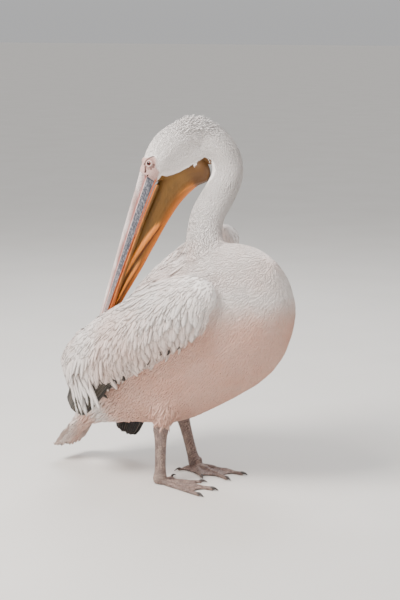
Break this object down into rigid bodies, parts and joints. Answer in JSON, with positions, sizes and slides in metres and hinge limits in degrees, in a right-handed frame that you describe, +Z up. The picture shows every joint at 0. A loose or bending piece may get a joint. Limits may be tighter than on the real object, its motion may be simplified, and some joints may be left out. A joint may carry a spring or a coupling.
{
  "type": "pelican",
  "caption": "Life-size standing pelican with its long pouched bill turned back over its right side and its wings folded.",
  "frame": {"origin": "on the floor, under the middle of the bird's outline", "axes": "+X the way the breast points, +Y the bird's left, +Z up"},
  "size_m": [0.6108, 0.328, 0.822],
  "materials": {
    "plumage": "soft white feathers with a faint pink tinge",
    "flight": "black flight feathers",
    "horn": "blue-grey horn with a pale ridge",
    "nail": "red horn",
    "mandible": "orange horn",
    "pouch": "thin orange-yellow skin",
    "eye": "wet and dark",
    "leg": "scaly greyish-pink skin",
    "claw": "dark horn"
  },
  "bodies": {
    "root": {"breast": "plumage", "trunk": "plumage", "rump": "plumage", "tail": "plumage", "head": "plumage", "neck_curl": "plumage", "neck_middle": "plumage", "neck_base": "plumage", "eye_right": "eye", "eye_left": "eye", "bill_upper": "horn", "bill_nail": "nail", "bill_lower": "mandible", "pouch": "pouch", "wing_right_coverts": "plumage", "wing_right_secondaries": "plumage", "wing_right_primaries": "flight", "wing_left_coverts": "plumage", "wing_left_secondaries": "plumage", "wing_left_primaries": "flight", "thigh_right": "plumage", "thigh_left": "plumage", "leg_right": "leg", "leg_left": "leg", "foot_right": "leg", "foot_left": "leg", "claw_right_outer": "claw", "claw_right_middle": "claw", "claw_right_inner": "claw", "claw_right_hind": "claw", "claw_left_outer": "claw", "claw_left_middle": "claw", "claw_left_inner": "claw", "claw_left_hind": "claw"}
  },
  "joints": []
}
